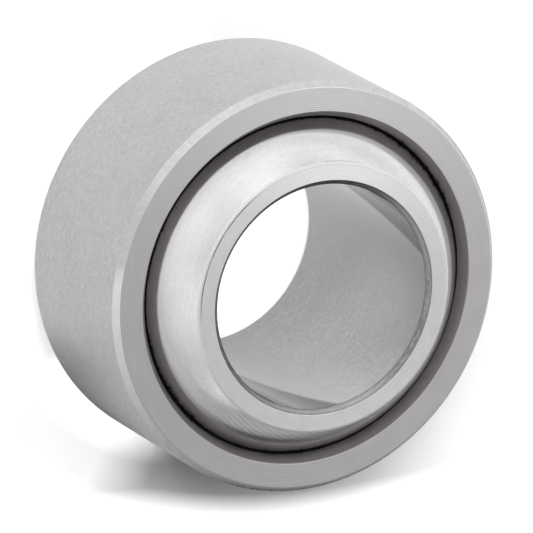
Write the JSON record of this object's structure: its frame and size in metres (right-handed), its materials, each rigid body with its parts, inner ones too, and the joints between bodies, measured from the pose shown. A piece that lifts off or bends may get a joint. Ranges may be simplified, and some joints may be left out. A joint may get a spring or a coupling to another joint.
{
  "type": "spherical plain bearing",
  "caption": "Lined spherical plain bearing: a bored steel ball turns and tilts in the fabric-lined race of a plain steel outer ring.",
  "frame": {"origin": "centre of the ball, which is the centre of both rings and of every tilt", "axes": "+Z along the bore's axis; the bearing is alike both ways, so +Z is the end that faces up when it stands on the inner ring's flat end"},
  "size_m": [0.035, 0.035, 0.0222],
  "materials": {
    "outer_ring_steel": "matte ground outside, turned end faces",
    "liner_fabric": "matte woven",
    "inner_ring_steel": "polished ball, honed bore, ground end faces"
  },
  "bodies": {
    "outer_ring": {"outer_ring": "outer_ring_steel"},
    "liner": {"liner": "liner_fabric"},
    "inner_ring": {"inner_ring": "inner_ring_steel"}
  },
  "joints": [
    {"name": "bore_rotation", "type": "hinge", "parent": "outer_ring", "child": "liner", "pos_m": [0, 0, 0], "axis": [0, 0, 1], "continuous": true},
    {"name": "ball_tilt", "type": "hinge", "parent": "liner", "child": "inner_ring", "pos_m": [0, 0, 0], "axis": [1, 0, 0], "range_deg": [-13, 13]}
  ]
}
